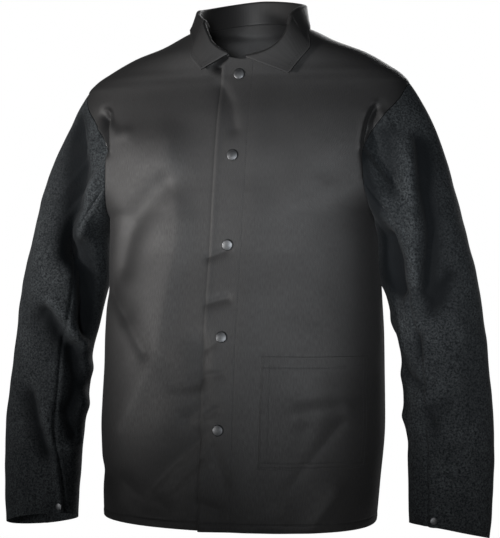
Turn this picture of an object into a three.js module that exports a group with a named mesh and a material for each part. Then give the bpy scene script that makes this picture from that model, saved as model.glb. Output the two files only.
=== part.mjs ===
// A work jacket: cotton body, split-leather sleeves, snap front and turned-down collar.
// Millimetres, +Z up. The wearer faces -Y and the wearer's left is +X.
// The origin is midway between the shoulders, level with the neck ends of the shoulder seams.
import * as THREE from "three";

const COTTON_WALL = 1.5;
const SUEDE_WALL = 1.8;
const COLLAR_WALL = 2.4;
const POCKET_WALL = 1.2;
const GAP = 0.4; // left between neighbouring pieces
const COLLAR_GAP = 1.4; // under the collar, whose foot leans
const ARMHOLE_GAP = 0.95; // where the sleeve meets the body at an angle
const LAP_GAP = 0.8; // between the two layers of the snap front
const LAP = 29; // the front edges pass the snap line by this much
const SNAP_STRIP = 12; // half the flat strip that the caps sit on
const LAP_FADE = 75; // distance from the snap line where the lapping front rejoins the body form

const HEM = -778;
const ARMPIT = -305;
const SHOULDER_TIP = -96;
const NECK_DROP = 58; // front neck below the neck ends of the shoulder seams
const NECK_CURVE = 8; // how square the front neckline is
const NECK_TURN = 4; // degrees that its lowest point lies towards the wearer's left
const NAPE_RISE = 20;
const NAPE_CURVE = 1.5;

const SNAP_LEVELS = [-82, -210.5, -348.5, -488, -627];
const SNAP_RADIUS = 8.75;
const SNAP_HEIGHT = 2.4;
const CUFF_SNAP_RADIUS = 5.8;
const CUFF_SNAP_RISE = 11; // above the cuff edge
const SNAP_SIDES = 16;

const POCKET_TOP = -516;
const POCKET_BOTTOM = -683;
const POCKET_INNER = 0.1; // shares of the way from the lap to the side seam
const POCKET_OUTER = 0.66;

const SEAM_FRONT = 118; // degrees round the sleeve from its outer side, through the front
const SEAM_BACK = 255;
const CAP_END = -340; // the sleeve is a plain tube below this level
const CAP_PITCH_TOP = 54; // degrees below level at which the sleeve leaves the armhole
const CAP_PITCH_BOTTOM = 68;
const CUFF_TILT_SIDE = 9;
const CUFF_TILT_FRONT = { left: 8, right: 14 };
const CUFF_TILT_FROM = -620;
const CUFF_LIFT = 7; // the left cuff hangs this much higher than the middle of the two, the right lower
const CUFF_TWIST = { left: -2, right: 22 }; // degrees that the seams turn on the way to the cuff
const CUFF = -790;
const SLEEVE_RADIUS = 66; // mean, turns degrees into distance for the folds
const SLEEVE_SQUARENESS = 2.2;
const SEAM_HOLD = 60; // folds of the sleeve fade in over this much below the armhole

const ROLL_RADIUS = 3.2; // fold of the collar, to the middle of its wall
const STAND_END = 0.3; // shares of the way across the collar, from its foot to its outer edge
const ROLL_END = 0.55;

// Facets
const UPPER_COLUMNS = 7; // on either side of the sleeve's outer line
const UNDER_COLUMNS = 8;
const CAP_ROWS = 6;
const TUBE_ROWS = 12;
const BACK_COLUMNS = 20;
const POCKET_COLUMNS = 5;
const FLANK_COLUMNS = 3; // from the pocket to the side seam
const SKIRT_ROWS = 3; // below the pocket
const POCKET_ROWS = 4;
const WAIST_ROWS = 4; // from the pocket to the armpit
const YOKE_SHARES = [0, 0.35, 0.65, 0.85, 0.93, 1]; // from the shoulder tips to the neckline
const STAND_ROWS = 2;
const ROLL_ROWS = 4;
const FALL_ROWS = 3;
const SETTLE_PASSES = 20;
const ANGLE_STEP = 0.01; // steps for slopes, in radians, millimetres and shares
const LEVEL_STEP = 2;
const COLLAR_STEP = 0.02;

// Level sections of the body. halfWidth reaches the side, front and back are depths from middle,
// lean shifts the section sideways and closing is where the snap line runs.
const BODY = [
  { z: 20, halfWidth: 66, front: 56, back: 70, middle: 8, lean: 17, squareness: 2.1, closing: 14 },
  { z: 0, halfWidth: 78, front: 57, back: 68, middle: 8, lean: 17, squareness: 2.1, closing: 14 },
  { z: -7, halfWidth: 100, front: 57, back: 70, middle: 8, lean: 16.5, squareness: 2.1, closing: 14 },
  { z: -28, halfWidth: 144, front: 58, back: 74, middle: 8, lean: 15, squareness: 2.2, closing: 14 },
  { z: -45, halfWidth: 190, front: 59, back: 78, middle: 8, lean: 11, squareness: 2.2, closing: 14 },
  { z: -67, halfWidth: 230, front: 60, back: 82, middle: 8, lean: 8, squareness: 2.2, closing: 13.5 },
  { z: -81, halfWidth: 251, front: 61, back: 84, middle: 8, lean: 7, squareness: 2.3, closing: 13 },
  { z: -96, halfWidth: 264, front: 63, back: 86, middle: 7, lean: 6, squareness: 2.3, closing: 12.6 },
  { z: -150, halfWidth: 274, front: 77, back: 93, middle: 5, lean: 4, squareness: 2.4, closing: 11.5 },
  { z: -200, halfWidth: 270, front: 86, back: 98, middle: 4, lean: 2, squareness: 2.5, closing: 10.4 },
  { z: -250, halfWidth: 254, front: 91, back: 101, middle: 3, lean: 1, squareness: 2.5, closing: 9 },
  { z: -285, halfWidth: 230, front: 94, back: 103, middle: 2, lean: 1.5, squareness: 2.5, closing: 8 },
  { z: -305, halfWidth: 217, front: 96, back: 103, middle: 2, lean: 2, squareness: 2.5, closing: 7.4 },
  { z: -352, halfWidth: 219, front: 99, back: 103, middle: 1, lean: 4, squareness: 2.5, closing: 6 },
  { z: -432, halfWidth: 222.5, front: 110, back: 101, middle: 0, lean: 5, squareness: 2.5, closing: 3.6 },
  { z: -489, halfWidth: 225, front: 118, back: 100, middle: 0, lean: 5.5, squareness: 2.5, closing: 2 },
  { z: -560, halfWidth: 226, front: 125, back: 101, middle: 0, lean: 5.5, squareness: 2.5, closing: 1 },
  { z: -626, halfWidth: 227, front: 131, back: 103, middle: 0, lean: 5, squareness: 2.45, closing: 0 },
  { z: -720, halfWidth: 223, front: 134, back: 107, middle: 0, lean: 1, squareness: 2.4, closing: -1.4 },
  { z: -778, halfWidth: 219.5, front: 135, back: 110, middle: 0, lean: -1, squareness: 2.4, closing: -2 },
];

// How far out the armhole edge lies, on the front and on the back panel.
const ARMHOLE = [
  { z: -96, front: 264, back: 264 },
  { z: -120, front: 255, back: 261 },
  { z: -150, front: 233, back: 255 },
  { z: -180, front: 215, back: 249 },
  { z: -210, front: 206, back: 243 },
  { z: -250, front: 207, back: 234 },
  { z: -285, front: 212, back: 224 },
  { z: -305, front: 217, back: 217 },
];

// Level sections of a sleeve below its cap: distance of the axis from the middle plane, its place
// front to back, and the half sizes.
const SLEEVE = [
  { z: -340, axis: 292, depth: 12, halfWidth: 67, halfDepth: 67 },
  { z: -395, axis: 300, depth: 13, halfWidth: 73, halfDepth: 63 },
  { z: -430, axis: 307, depth: 13, halfWidth: 72, halfDepth: 58 },
  { z: -470, axis: 315, depth: 13, halfWidth: 69.5, halfDepth: 54 },
  { z: -528, axis: 324.5, depth: 10, halfWidth: 66.5, halfDepth: 51 },
  { z: -605, axis: 330, depth: 2, halfWidth: 68, halfDepth: 49 },
  { z: -641, axis: 333, depth: -3, halfWidth: 67, halfDepth: 47 },
  { z: -703, axis: 334.5, depth: -9, halfWidth: 65, halfDepth: 43 },
  { z: -736, axis: 334.5, depth: -12, halfWidth: 63.5, halfDepth: 41 },
  { z: -790, axis: 333, depth: -16, halfWidth: 61, halfDepth: 39 },
];

// The collar by direction round the neck, from the nape (180) to the front ends: outward lean of the
// stand and how far the outer edge stands off, then for the wearer's left and right the height of the
// stand and where the outer edge rests on the body. It sits unevenly, rolled lower towards the left.
const COLLAR = [
  { angle: 180, rollOut: 3, lift: 5, standL: 38, edgeL: 180, levelL: 5, standR: 38, edgeR: 180, levelR: 5 },
  { angle: 135, rollOut: 4, lift: 5, standL: 37, edgeL: 136, levelL: 1, standR: 37, edgeR: 130, levelR: 0 },
  { angle: 92, rollOut: 5, lift: 3, standL: 33, edgeL: 74, levelL: -7, standR: 33, edgeR: 58, levelR: -9 },
  { angle: 70, rollOut: 5, lift: 3, standL: 25, edgeL: 47, levelL: -24, standR: 21, edgeR: 40, levelR: -20 },
  { angle: 45, rollOut: 4, lift: 4, standL: 13, edgeL: 35, levelL: -44, standR: 9, edgeR: 26, levelR: -38 },
  { angle: 27, rollOut: 2, lift: 5, standL: 13, edgeL: 27, levelL: -60, standR: 9, edgeR: 21, levelR: -53 },
  { angle: 13, rollOut: 1, lift: 6, standL: 7, edgeL: 22, levelL: -74, standR: 9, edgeR: 16.4, levelR: -64 },
  { angle: 4, rollOut: 0, lift: 7, standL: 5, edgeL: 19, levelL: -85, standR: 6, edgeR: 13, levelR: -74 },
];

// Folds of the body: a line across the front (y < middle) or back, how wide the fold is on either
// side of it and how far it stands out (+) or sinks in (-).
const BODY_FOLDS = [
  { name: "right armhole", face: "front", x0: -206, z0: -140, x1: -198, z1: -195, width: 14, depth: -7 },
  { name: "left armhole", face: "front", x0: 212, z0: -140, x1: 205, z1: -205, width: 15, depth: -6 },
  { name: "chest ridge", face: "front", x0: -80, z0: -235, x1: -80, z1: -470, width: 26, depth: 4 },
  { name: "chest dimple", face: "front", x0: -108, z0: -265, x1: -165, z1: -335, width: 22, depth: -5 },
  { name: "side crease", face: "front", x0: -196, z0: -432, x1: -130, z1: -508, width: 14, depth: -5 },
  { name: "pull to hem", face: "front", x0: -39, z0: -650, x1: -108, z1: -716, width: 18, depth: -7 },
  { name: "hem fold", face: "front", x0: -190, z0: -691, x1: -124, z1: -747, width: 16, depth: -5 },
  { name: "skirt ridge", face: "front", x0: 141, z0: -630, x1: 94, z1: -743, width: 22, depth: 5 },
  { name: "back left hang", face: "back", x0: 120, z0: -330, x1: 105, z1: -760, width: 34, depth: 5 },
  { name: "back right hang", face: "back", x0: -125, z0: -340, x1: -105, z1: -760, width: 34, depth: 5 },
];

// Folds of the sleeves, by degrees round and level.
const SLEEVE_FOLDS = [
  { side: -1, angle0: 50, z0: -167, angle1: 103, z1: -290, width: 15, depth: -12 },
  { side: -1, angle0: 118, z0: -356, angle1: 150, z1: -474, width: 18, depth: -6 },
  { side: -1, angle0: 88, z0: -455, angle1: 136, z1: -512, width: 14, depth: -8 },
  { side: -1, angle0: 80, z0: -595, angle1: 103, z1: -683, width: 14, depth: -6 },
  { side: 1, angle0: 50, z0: -215, angle1: 65, z1: -285, width: 18, depth: -9 },
  { side: 1, angle0: 76, z0: -335, angle1: 94, z1: -416, width: 18, depth: -9 },
  { side: 1, angle0: 134, z0: -335, angle1: 130, z1: -415, width: 15, depth: -13 },
  { side: 1, angle0: 152, z0: -541, angle1: 124, z1: -560, width: 14, depth: -6 },
  { side: 1, angle0: 86, z0: -586, angle1: 112, z1: -612, width: 13, depth: -5 },
];

const COTTON = { color: 0x404042, roughness: 0.75, metalness: 0 };
const SUEDE = { color: 0x262b2d, roughness: 0.95, metalness: 0 };
const GUNMETAL = { color: 0x6c6d70, roughness: 0.35, metalness: 1 };

const { clamp, degToRad, lerp, smoothstep } = THREE.MathUtils;
const QUARTER = Math.PI / 2;

// Smooth curve through one column of a table whose rows run downwards in key, without overshoot.
function curve(rows, key, name) {
  const x = rows.map((row) => row[key]);
  const y = rows.map((row) => row[name]);
  const last = rows.length - 1;
  const slope = x.slice(1).map((value, i) => (y[i + 1] - y[i]) / (value - x[i]));
  const tangent = y.map((value, i) => {
    if (i === 0) return slope[0];
    if (i === last) return slope[last - 1];
    const product = slope[i - 1] * slope[i];
    return product > 0 ? (2 * product) / (slope[i - 1] + slope[i]) : 0;
  });
  return (at) => {
    const t = clamp(at, x[last], x[0]);
    let i = 0;
    while (i < last - 1 && t < x[i + 1]) i++;
    const span = x[i + 1] - x[i];
    return hermite(y[i], tangent[i] * span, y[i + 1], tangent[i + 1] * span, (t - x[i]) / span);
  };
}

function hermite(from, leaving, to, arriving, t) {
  const rest = 1 - t;
  const blend = t * t * (3 - 2 * t);
  return from * (1 - blend) + to * blend + leaving * t * rest * rest - arriving * t * t * rest;
}

function curves(rows, key) {
  const names = Object.keys(rows[0]).filter((name) => name !== key);
  return Object.fromEntries(names.map((name) => [name, curve(rows, key, name)]));
}

const body = curves(BODY, "z");
const armhole = curves(ARMHOLE, "z");
const sleeve = curves(SLEEVE, "z");
const collar = curves(COLLAR, "angle");

// Height of a fold at a point, from its distance to the fold's line.
function foldHeight(fold, u, v, u0, v0, u1, v1) {
  const along = ((u - u0) * (u1 - u0) + (v - v0) * (v1 - v0)) / ((u1 - u0) ** 2 + (v1 - v0) ** 2);
  const t = clamp(along, 0, 1);
  const off = Math.hypot(u - lerp(u0, u1, t), v - lerp(v0, v1, t)) / fold.width;
  return fold.depth * Math.exp(-off * off);
}

// Point of the body form. The angle runs from the front middle, through the wearer's left side.
function bodyForm(angle, z) {
  const power = body.squareness(z);
  const across = Math.sin(angle);
  const ahead = Math.cos(angle);
  const stretch = (Math.abs(across) ** power + Math.abs(ahead) ** power) ** (-1 / power);
  const depth = ahead > 0 ? body.front(z) : body.back(z);
  const x = body.lean(z) + body.halfWidth(z) * stretch * across;
  return new THREE.Vector3(x, body.middle(z) - depth * stretch * ahead, z);
}

function normalOf(form, u, v, du, dv) {
  const across = form(u + du, v).sub(form(u - du, v));
  const up = form(u, v + dv).sub(form(u, v - dv));
  return across.cross(up).normalize();
}

// The body form with its folds.
function bodySkin(angle, z) {
  const point = bodyForm(angle, z);
  const face = Math.cos(angle) > 0 ? "front" : "back";
  let height = 0;
  for (const fold of BODY_FOLDS) {
    if (fold.face !== face) continue;
    height += foldHeight(fold, point.x, z, fold.x0, fold.z0, fold.x1, fold.z1);
  }
  const facing = Math.min(1, 2 * Math.abs(Math.cos(angle))); // folds die out at the sides
  return point.addScaledVector(normalOf(bodyForm, angle, z, ANGLE_STEP, LEVEL_STEP), height * facing);
}

// Angle from the front (or back) middle at which the form is this far out.
function angleAt(out, z) {
  const power = body.squareness(z);
  const share = clamp(Math.abs(out) / body.halfWidth(z), 0, 1);
  return Math.sign(out) * Math.atan2(share, (1 - share ** power) ** (1 / power));
}

function neckHeight(angle) {
  const ahead = Math.cos(angle);
  if (ahead <= 0) return NAPE_RISE * (-ahead) ** NAPE_CURVE;
  return -NECK_DROP * Math.max(0, Math.cos(angle - degToRad(NECK_TURN))) ** NECK_CURVE;
}

// Outer edge of a panel: the shoulder seam, then the armhole, then the side seam.
function edgeAngle(z, face) {
  const seam = QUARTER - GAP / (2 * body[face](z));
  if (z >= SHOULDER_TIP || z <= ARMPIT) return seam;
  return Math.min(seam, angleAt(armhole[face](z), z));
}

function armLevel(turn) {
  return SHOULDER_TIP + ((ARMPIT - SHOULDER_TIP) * (1 - Math.cos(degToRad(turn)))) / 2;
}

function spread(from, to, count) {
  return Array.from({ length: count + 1 }, (item, i) => lerp(from, to, i / count));
}

// Degrees round the sleeve of its columns. The panel rows along the armhole use the same levels.
const upperTurns = [
  ...spread(SEAM_BACK - 360, 0, UPPER_COLUMNS),
  ...spread(0, SEAM_FRONT, UPPER_COLUMNS).slice(1),
];
const underTurns = spread(SEAM_FRONT, SEAM_BACK, UNDER_COLUMNS);
const allTurns = [...upperTurns, ...underTurns.map((turn) => (turn > 180 ? turn - 360 : turn))];

function panelRows(sign) {
  const own = allTurns.filter((turn) => turn * sign > 0 && turn * sign < 180).map(Math.abs);
  const edges = [...new Set(own)].sort((a, b) => b - a).map(armLevel);
  const low = [
    ...spread(HEM, POCKET_BOTTOM, SKIRT_ROWS),
    ...spread(POCKET_BOTTOM, POCKET_TOP, POCKET_ROWS).slice(1),
    ...spread(POCKET_TOP, ARMPIT, WAIST_ROWS).slice(1),
  ];
  const middles = spread(ARMPIT, SHOULDER_TIP, edges.length + 1).slice(1, -1);
  return [
    ...low.map((z) => ({ middle: z, edge: z, top: 0 })),
    ...edges.map((edge, i) => ({ middle: middles[i], edge, top: 0 })),
    ...YOKE_SHARES.map((top) => ({ middle: SHOULDER_TIP, edge: SHOULDER_TIP, top })),
  ];
}

// Rows above the shoulder tips stretch up to the neckline, whose height depends on the angle.
function settle(row, share, angleFor) {
  let z = lerp(row.middle, row.edge, share ** 2);
  let angle = angleFor(z);
  for (let pass = 0; row.top > 0 && pass < SETTLE_PASSES; pass++) {
    z = (z + lerp(SHOULDER_TIP, neckHeight(angle), row.top)) / 2;
    angle = angleFor(z);
  }
  return { angle, z };
}

const LAP_COLUMNS = [-LAP, -SNAP_STRIP, SNAP_STRIP, LAP].map((offset) => ({ offset, share: 0 }));
const SIDE_COLUMNS = [
  ...spread(POCKET_INNER, POCKET_OUTER, POCKET_COLUMNS),
  ...spread(POCKET_OUTER, 1, FLANK_COLUMNS).slice(1),
].map((share) => ({ offset: LAP, share }));

// A front panel: side is +1 for the wearer's left front, which laps over the other.
function frontPlace(side, column, row) {
  const edge = side * edgeAngle(row.edge, "front");
  return settle(row, column.share, (z) => {
    const lap = angleAt(body.closing(z) + side * column.offset - body.lean(z), z);
    return lerp(lap, edge, column.share);
  });
}

function frontSkin(side, column, row, off = 0) {
  const { angle, z } = frontPlace(side, column, row);
  const point = bodySkin(angle, z);
  const normal = normalOf(bodySkin, angle, z, ANGLE_STEP, LEVEL_STEP);
  const reach = Math.max(0, side * (point.x - body.closing(z)));
  const lap = side > 0 ? (COTTON_WALL + LAP_GAP) * (1 - smoothstep(reach, LAP, LAP_FADE)) : 0;
  return { point: point.addScaledVector(normal, lap + off), normal };
}

function backSkin(share, row) {
  const { angle, z } = settle(row, share, () => Math.PI - share * edgeAngle(row.edge, "back"));
  return { point: bodySkin(angle, z), normal: normalOf(bodySkin, angle, z, ANGLE_STEP, LEVEL_STEP) };
}

// A closed wall between a skin and the same skin set in by its thickness.
function wallGeometry(columns, rows, skin, thickness) {
  const outer = columns.map((column) => rows.map((row) => skin(column, row)));
  const across = outer[1][0].point.clone().sub(outer[0][0].point);
  const up = outer[0][1].point.clone().sub(outer[0][0].point);
  const turned = across.cross(up).dot(outer[0][0].normal) < 0;
  const position = [];
  for (const set of [0, thickness]) {
    for (const { point, normal } of outer.flat()) {
      position.push(...point.clone().addScaledVector(normal, -set).toArray());
    }
  }
  const index = [];
  const triangle = (a, b, c) => (turned ? index.push(a, c, b) : index.push(a, b, c));
  const quad = (a, b, c, d) => {
    triangle(a, b, c);
    triangle(a, c, d);
  };
  const tall = rows.length;
  const inner = columns.length * tall;
  const at = (i, j) => i * tall + j;
  for (let i = 0; i + 1 < columns.length; i++) {
    for (let j = 0; j + 1 < tall; j++) {
      quad(at(i, j), at(i + 1, j), at(i + 1, j + 1), at(i, j + 1));
      quad(inner + at(i, j), inner + at(i, j + 1), inner + at(i + 1, j + 1), inner + at(i + 1, j));
    }
  }
  const rim = [];
  for (let i = 0; i < columns.length; i++) rim.push(at(i, 0));
  for (let j = 1; j < tall; j++) rim.push(at(columns.length - 1, j));
  for (let i = columns.length - 2; i >= 0; i--) rim.push(at(i, tall - 1));
  for (let j = tall - 2; j > 0; j--) rim.push(at(0, j));
  rim.forEach((from, k) => {
    const to = rim[(k + 1) % rim.length];
    quad(inner + from, inner + to, to, from);
  });
  const geometry = new THREE.BufferGeometry();
  geometry.setAttribute("position", new THREE.Float32BufferAttribute(position, 3));
  geometry.setIndex(index);
  geometry.computeVertexNormals();
  return geometry;
}

const jacket = new THREE.Group();
jacket.name = "welding_jacket";

function addPiece(name, geometry, look) {
  const piece = new THREE.Mesh(geometry, new THREE.MeshStandardMaterial(look));
  piece.name = name;
  jacket.add(piece);
  return piece;
}

// Body panels
const frontRows = panelRows(1);
const frontColumns = [...LAP_COLUMNS, ...SIDE_COLUMNS];
const leftSkin = (column, row) => frontSkin(1, column, row);
const rightSkin = (column, row) => frontSkin(-1, column, row);
const leftWall = wallGeometry(frontColumns, frontRows, leftSkin, COTTON_WALL);
const frontLeft = addPiece("front_left", leftWall, COTTON);
const rightColumns = [...frontColumns].reverse(); // so that both layers of the lap have the same facets
addPiece("front_right", wallGeometry(rightColumns, frontRows, rightSkin, COTTON_WALL), COTTON);
const backShares = spread(1, -1, BACK_COLUMNS);
addPiece("back_panel", wallGeometry(backShares, panelRows(-1), backSkin, COTTON_WALL), COTTON);

// The pocket shares the grid of the front that it is sewn to, so it lies flat on it.
const pocketColumns = SIDE_COLUMNS.filter(({ share }) => share <= POCKET_OUTER);
const pocketRows = frontRows.filter(({ edge }) => edge >= POCKET_BOTTOM && edge <= POCKET_TOP);
const pocketSkin = (column, row) => frontSkin(1, column, row, GAP + POCKET_WALL);
addPiece("pocket", wallGeometry(pocketColumns, pocketRows, pocketSkin, POCKET_WALL), COTTON);

// Sleeves
function armholePoint(side, turn) {
  const round = ((turn % 360) + 360) % 360;
  const z = armLevel(round);
  const face = round <= 180 ? "front" : "back";
  const angle = angleAt(armhole[face](z), z);
  return bodySkin(side * (face === "front" ? angle : Math.PI - angle), z);
}

function ringPoint(side, turn, z) {
  const end = smoothstep(-z, -CUFF_TILT_FROM, -CUFF);
  const name = side > 0 ? "left" : "right";
  const radians = degToRad(turn + end * CUFF_TWIST[name]);
  const out = Math.cos(radians);
  const ahead = Math.sin(radians);
  const power = SLEEVE_SQUARENESS;
  const stretch = (Math.abs(out) ** power + Math.abs(ahead) ** power) ** (-1 / power);
  const tilt = end * (CUFF_TILT_FRONT[name] * ahead - CUFF_TILT_SIDE * out + side * CUFF_LIFT);
  const x = sleeve.axis(z) + sleeve.halfWidth(z) * stretch * out;
  return new THREE.Vector3(side * x, sleeve.depth(z) - sleeve.halfDepth(z) * stretch * ahead, z + tilt);
}

function sleeveForm(side, turn, z) {
  if (z <= CAP_END) return ringPoint(side, turn, z);
  const down = (1 - Math.cos(degToRad(turn))) / 2;
  const pitch = degToRad(lerp(CAP_PITCH_TOP, CAP_PITCH_BOTTOM, down));
  const leaving = new THREE.Vector3(side * Math.cos(pitch), 0, -Math.sin(pitch));
  const from = armholePoint(side, turn).addScaledVector(leaving, ARMHOLE_GAP);
  const to = ringPoint(side, turn, CAP_END);
  const arriving = ringPoint(side, turn, CAP_END - LEVEL_STEP).sub(to).normalize();
  const length = from.distanceTo(to);
  const share = clamp((SHOULDER_TIP - z) / (SHOULDER_TIP - CAP_END), 0, 1);
  const mix = (axis) => hermite(from[axis], leaving[axis] * length, to[axis], arriving[axis] * length, share);
  return new THREE.Vector3(mix("x"), mix("y"), mix("z"));
}

function sleeveSkin(side, turn, z) {
  const point = sleeveForm(side, turn, z);
  const radians = degToRad(turn);
  const around = (degrees) => degToRad(degrees) * SLEEVE_RADIUS;
  let height = 0;
  for (const fold of SLEEVE_FOLDS) {
    if (fold.side !== side) continue;
    const turnHere = fold.angle0 > 90 && turn < 0 ? turn + 360 : turn;
    const [start, end] = [around(fold.angle0), around(fold.angle1)];
    height += foldHeight(fold, around(turnHere), point.z, start, fold.z0, end, fold.z1);
  }
  const free = smoothstep(SHOULDER_TIP - z, 0, SEAM_HOLD); // the armhole seam itself stays in place
  const outward = new THREE.Vector3(side * Math.cos(radians), -Math.sin(radians), 0);
  return point.addScaledVector(outward, height * free);
}

function sleeveWall(side, turn, z) {
  const across = sleeveSkin(side, turn + 1, z).sub(sleeveSkin(side, turn - 1, z));
  const above = Math.min(z + LEVEL_STEP, SHOULDER_TIP);
  const up = sleeveSkin(side, turn, above).sub(sleeveSkin(side, turn, z - LEVEL_STEP));
  const normal = up.cross(across).normalize().multiplyScalar(side);
  return { point: sleeveSkin(side, turn, z), normal };
}

const sleeveRows = [
  ...spread(SHOULDER_TIP, CAP_END, CAP_ROWS),
  ...spread(CAP_END, CUFF, TUBE_ROWS).slice(1),
];
const seamTurn = (GAP / SLEEVE_RADIUS) * (180 / Math.PI); // half of it is taken off either edge
const inset = (turns) => turns.map((turn, i) => {
  if (i === 0) return turn + seamTurn / 2;
  return i === turns.length - 1 ? turn - seamTurn / 2 : turn;
});

// Snaps
function revolve(profile, sides) {
  const position = [];
  const rings = profile.map(({ radius, height }) => {
    const first = position.length / 3;
    const count = radius > 0 ? sides : 1;
    for (let i = 0; i < count; i++) {
      const turn = (2 * Math.PI * i) / sides;
      position.push(radius * Math.cos(turn), radius * Math.sin(turn), height);
    }
    return (i) => first + (i % count);
  });
  const index = [];
  for (let k = 0; k + 1 < rings.length; k++) {
    for (let i = 0; i < sides; i++) {
      const [a, b] = [rings[k](i), rings[k](i + 1)];
      const [c, d] = [rings[k + 1](i + 1), rings[k + 1](i)];
      if (a !== b) index.push(a, b, c);
      if (c !== d) index.push(a, c, d);
    }
  }
  const geometry = new THREE.BufferGeometry();
  geometry.setAttribute("position", new THREE.Float32BufferAttribute(position, 3));
  geometry.setIndex(index);
  geometry.computeVertexNormals();
  return geometry;
}

function snapGeometry(radius) {
  const height = (SNAP_HEIGHT * radius) / SNAP_RADIUS;
  const profile = [
    { radius: 0, height: 0 },
    { radius: radius * 0.94, height: 0 },
    { radius, height: height * 0.4 },
    { radius: radius * 0.92, height: height * 0.85 },
    { radius: radius * 0.76, height },
    { radius: radius * 0.62, height: height * 0.75 },
    { radius: 0, height: height * 0.9 },
  ];
  return revolve(profile, SNAP_SIDES);
}

// A cap is seated on what a line through its place, straight back, meets first. The cloth may bend
// under its rim, so it stands clear of the highest place there.
const AHEAD = 600;
function seatSnap(name, radius, x, z, host) {
  const meet = (across, up) => {
    const from = new THREE.Vector3(x + across, -AHEAD, z + up);
    return new THREE.Raycaster(from, new THREE.Vector3(0, 1, 0)).intersectObject(host)[0];
  };
  const middle = meet(0, 0);
  const normal = middle.face.normal;
  const rim = spread(0, 2 * Math.PI, SNAP_SIDES)
    .map((turn) => meet(radius * Math.cos(turn), radius * Math.sin(turn)))
    .filter((hit) => hit);
  const highest = Math.max(0, ...rim.map(({ point }) => point.sub(middle.point).dot(normal)));
  const geometry = snapGeometry(radius);
  geometry.applyQuaternion(new THREE.Quaternion().setFromUnitVectors(new THREE.Vector3(0, 0, 1), normal));
  const seat = middle.point.addScaledVector(normal, highest + GAP);
  geometry.translate(seat.x, seat.y, seat.z);
  addPiece(name, geometry, GUNMETAL);
}

for (const [i, z] of SNAP_LEVELS.entries()) {
  seatSnap(`front_snap_${i + 1}`, SNAP_RADIUS, body.closing(z), z, frontLeft);
}

for (const { side, name } of [{ side: 1, name: "left" }, { side: -1, name: "right" }]) {
  const skin = (turn, z) => sleeveWall(side, turn, z);
  const upper = wallGeometry(inset(upperTurns), sleeveRows, skin, SUEDE_WALL);
  const upperPiece = addPiece(`sleeve_upper_${name}`, upper, SUEDE);
  addPiece(`sleeve_under_${name}`, wallGeometry(inset(underTurns), sleeveRows, skin, SUEDE_WALL), SUEDE);
  const strip = (upperTurns[upperTurns.length - 1] + upperTurns[upperTurns.length - 2]) / 2;
  const cuff = sleeveSkin(side, strip, sleeveRows[sleeveRows.length - 1]);
  seatSnap(`cuff_snap_${name}`, CUFF_SNAP_RADIUS, cuff.x, cuff.z + CUFF_SNAP_RISE, upperPiece);
}

// Collar: up the stand, over the roll and down the fall, all the way round the neck.
function collarMiddle(angle, across) {
  const turn = THREE.MathUtils.radToDeg(Math.abs(angle));
  const out = new THREE.Vector3(Math.sin(angle), -Math.cos(angle), 0);
  const seam = bodySkin(angle, neckHeight(angle));
  seam.z += COLLAR_GAP;
  const side = angle > 0 ? "L" : "R";
  const rollFoot = seam.clone().addScaledVector(out, collar.rollOut(turn));
  rollFoot.z += collar[`stand${side}`](turn) - ROLL_RADIUS;
  if (across <= STAND_END) return seam.lerp(rollFoot, across / STAND_END);
  const centre = rollFoot.addScaledVector(out, ROLL_RADIUS);
  const over = Math.PI * (1 - clamp((across - STAND_END) / (ROLL_END - STAND_END), 0, 1));
  const roll = centre.addScaledVector(out, ROLL_RADIUS * Math.cos(over));
  roll.z += ROLL_RADIUS * Math.sin(over);
  if (across <= ROLL_END) return roll;
  const edgeTurn = Math.sign(angle) * degToRad(collar[`edge${side}`](turn));
  const level = collar[`level${side}`](turn);
  const edge = bodyForm(edgeTurn, level);
  const off = normalOf(bodyForm, edgeTurn, level, ANGLE_STEP, LEVEL_STEP);
  edge.addScaledVector(off, collar.lift(turn) + COLLAR_WALL / 2);
  const share = (across - ROLL_END) / (1 - ROLL_END);
  return roll.lerp(edge, share);
}

function collarSkin(angle, across) {
  const left = collarMiddle(angle - COLLAR_STEP, across);
  const right = collarMiddle(angle + COLLAR_STEP, across);
  const low = collarMiddle(angle, Math.max(0, across - COLLAR_STEP));
  const high = collarMiddle(angle, Math.min(1, across + COLLAR_STEP));
  const normal = high.sub(low).cross(right.sub(left)).normalize();
  const point = collarMiddle(angle, across).addScaledVector(normal, COLLAR_WALL / 2);
  return { point, normal };
}

const collarEnd = degToRad(COLLAR[COLLAR.length - 1].angle);
// Its columns stand on those of the panels, so that its foot follows their upper edges.
const neckRow = frontRows[frontRows.length - 1];
const neckTurns = (side) => {
  const turns = frontColumns.map((column) => side * frontPlace(side, column, neckRow).angle);
  return [collarEnd, ...turns.filter((turn) => turn > collarEnd + ANGLE_STEP)];
};
const collarTurns = [
  ...neckTurns(1),
  ...backShares.slice(1, -1).map((share) => Math.PI * (1 - share / 2)),
  ...neckTurns(-1).reverse().map((turn) => 2 * Math.PI - turn),
].map((turn) => (turn > Math.PI ? turn - 2 * Math.PI : turn));
const collarRows = [
  ...spread(0, STAND_END, STAND_ROWS),
  ...spread(STAND_END, ROLL_END, ROLL_ROWS).slice(1),
  ...spread(ROLL_END, 1, FALL_ROWS).slice(1),
];
addPiece("collar", wallGeometry(collarTurns, collarRows, collarSkin, COLLAR_WALL), COTTON);

export default jacket;
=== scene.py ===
import math
import bmesh
import bpy
import numpy as np
from mathutils import Matrix, Vector, noise


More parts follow.
